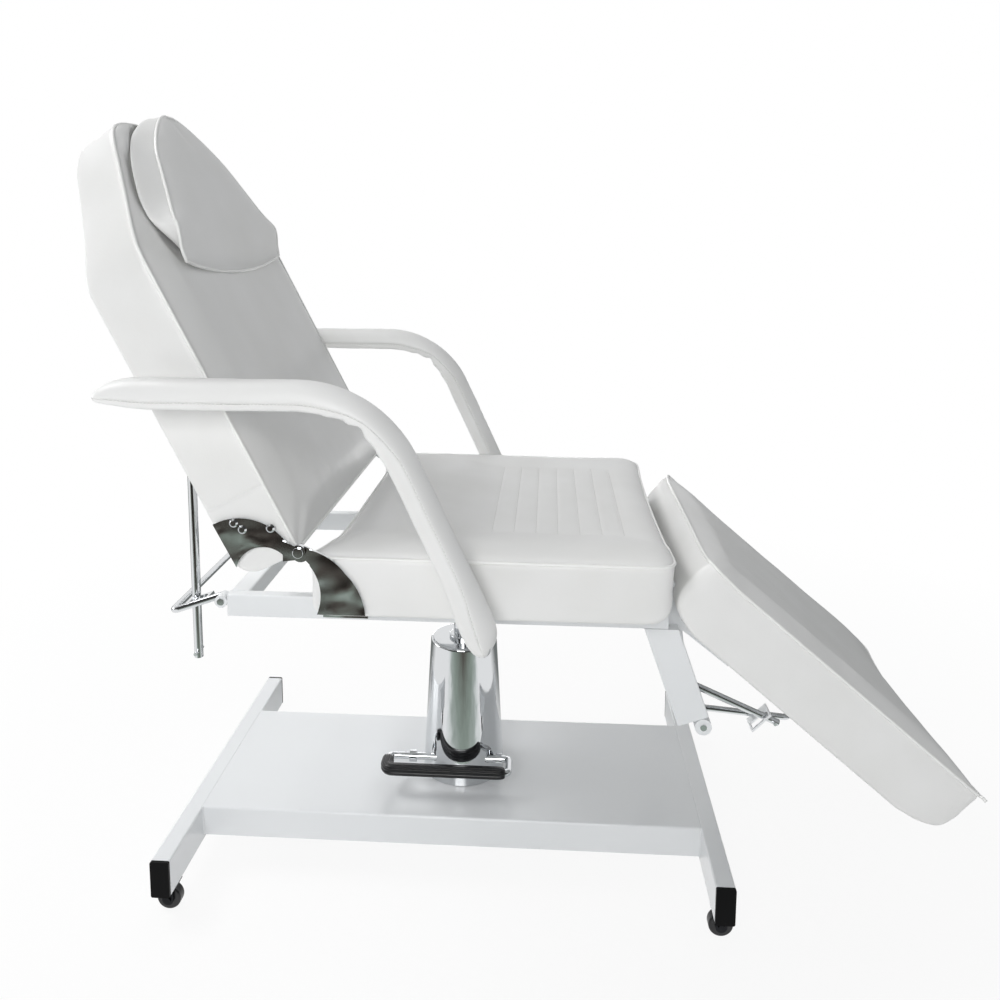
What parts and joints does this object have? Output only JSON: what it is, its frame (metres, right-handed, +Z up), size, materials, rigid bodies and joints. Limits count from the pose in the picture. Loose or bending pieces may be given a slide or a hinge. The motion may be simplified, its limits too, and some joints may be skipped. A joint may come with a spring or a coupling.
{
  "type": "beauty treatment chair",
  "caption": "Reclining treatment chair on an H-shaped base with hydraulic lift, padded seat, backrest, leg rest, curved armrests and head pillow.",
  "frame": {"origin": "on the floor, in the middle of the overall box", "axes": "+X from the head end to the foot end, +Y to the sitter's left, +Z up"},
  "size_m": [1.4004, 0.776, 1.2626],
  "materials": {
    "white_paint": "gloss",
    "chrome": "polished",
    "bare_steel": "satin",
    "black_plastic": "satin",
    "black_rubber": "matte",
    "white_vinyl": "satin",
    "plywood": "matte",
    "grip_tape": "matte"
  },
  "bodies": {
    "base": {"rear_base_leg": "white_paint", "front_base_leg": "white_paint", "base_leg_caps": "black_plastic", "wheel_forks": "bare_steel", "wheel_axles": "bare_steel", "base_feet": "black_rubber", "base_cover": "white_paint", "base_cross_tubes": "white_paint", "pump_mount_plate": "white_paint", "pump_bolts": "bare_steel", "pump_body": "white_paint", "pump_cover": "chrome", "pump_gland": "chrome"},
    "rear_wheel": {"rear_wheel": "black_rubber"},
    "front_wheel": {"front_wheel": "black_rubber"},
    "pedal": {"pedal_loop": "chrome", "pedal_pad": "black_rubber", "pedal_collars": "chrome"},
    "ram": {"pump_ram": "chrome", "thrust_washer": "bare_steel"},
    "seat_frame": {"swivel_hub": "white_paint", "hub_plate": "white_paint", "seat_rails": "white_paint", "seat_cross_tubes": "white_paint", "leg_hangers": "white_paint", "rear_bar_sleeves": "white_paint", "front_bar_sleeves": "white_paint", "leg_pivot_lugs": "white_paint", "arm_pivot_bars": "white_paint", "seat_board": "plywood", "seat_cushion": "white_vinyl", "seat_hinge_plates": "chrome"},
    "backrest": {"back_cushion": "white_vinyl", "back_board": "plywood", "back_hinge_plates": "chrome", "hinge_rivets": "chrome", "back_plate_screws": "chrome", "back_rod_bracket": "white_paint"},
    "back_rod": {"back_support_rod": "chrome"},
    "back_release": {"back_release_bar": "chrome", "back_lock_plate": "chrome"},
    "leg_rest": {"leg_cushion": "white_vinyl", "leg_board": "plywood", "leg_bars": "white_paint", "leg_pivot_plates": "white_paint", "leg_pivot_pins": "bare_steel", "leg_lever_pin": "bare_steel"},
    "leg_rod": {"leg_support_rod": "chrome"},
    "leg_release": {"leg_release_bar": "chrome", "leg_lock_plate": "chrome"},
    "right_arm": {"right_arm_pad": "white_vinyl", "right_arm_core": "bare_steel"},
    "left_arm": {"left_arm_pad": "white_vinyl", "left_arm_core": "bare_steel"},
    "pillow": {"head_pillow": "white_vinyl", "pillow_grip_strips": "grip_tape"}
  },
  "joints": [
    {"name": "rear_wheel_spin", "type": "hinge", "parent": "base", "child": "rear_wheel", "pos_m": [-0.54939, -0.262, 0.019], "axis": [0, 1, 0], "continuous": true},
    {"name": "front_wheel_spin", "type": "hinge", "parent": "base", "child": "front_wheel", "pos_m": [0.31761, -0.262, 0.019], "axis": [0, 1, 0], "continuous": true},
    {"name": "pedal_press", "type": "hinge", "parent": "base", "child": "pedal", "pos_m": [-0.10389, -0.05, 0.143], "axis": [1, 0, 0], "range_deg": [0, 18], "stiffness_Nm_per_rad": 4, "springref_deg": -5.73},
    {"name": "lift", "type": "slide", "parent": "base", "child": "ram", "axis": [0, 0, 1], "range_m": [-0.038, 0.135]},
    {"name": "swivel", "type": "hinge", "parent": "ram", "child": "seat_frame", "pos_m": [-0.10389, 0, 0.43], "axis": [0, 0, 1], "continuous": true},
    {"name": "back_recline", "type": "hinge", "parent": "seat_frame", "child": "backrest", "pos_m": [-0.31289, 0, 0.613], "axis": [0, -1, 0], "range_deg": [-15, 58]},
    {"name": "back_rod_swing", "type": "hinge", "parent": "backrest", "child": "back_rod", "pos_m": [-0.52689, -0.168, 0.745], "axis": [0, -1, 0], "range_deg": [-32, 9]},
    {"name": "back_release_lift", "type": "hinge", "parent": "seat_frame", "child": "back_release", "pos_m": [-0.46488, 0, 0.496], "axis": [0, 1, 0], "range_deg": [0, 10]},
    {"name": "leg_raise", "type": "hinge", "parent": "seat_frame", "child": "leg_rest", "pos_m": [0.23611, 0, 0.528], "axis": [0, -1, 0], "range_deg": [0, 40]},
    {"name": "leg_rod_swing", "type": "hinge", "parent": "leg_rest", "child": "leg_rod", "pos_m": [0.25611, -0.184, 0.374], "axis": [0, -1, 0], "range_deg": [-88, 2]},
    {"name": "leg_release_lift", "type": "hinge", "parent": "seat_frame", "child": "leg_release", "pos_m": [0.28812, 0, 0.316], "axis": [0, -1, 0], "range_deg": [0, 6]},
    {"name": "right_arm_swing", "type": "hinge", "parent": "seat_frame", "child": "right_arm", "pos_m": [-0.04138, -0.357, 0.501], "axis": [0, -1, 0], "range_deg": [0, 55]},
    {"name": "left_arm_swing", "type": "hinge", "parent": "seat_frame", "child": "left_arm", "pos_m": [-0.04138, 0.357, 0.501], "axis": [0, -1, 0], "range_deg": [0, 55]},
    {"name": "pillow_pull", "type": "slide", "parent": "backrest", "child": "pillow", "axis": [0.8918, 0, 0.4524], "range_m": [0, 0.12]}
  ],
  "couplings": [
    {"joint": "back_rod_swing", "follows": "back_recline", "ratio": -0.53},
    {"joint": "leg_rod_swing", "follows": "leg_raise", "ratio": -2.16}
  ]
}
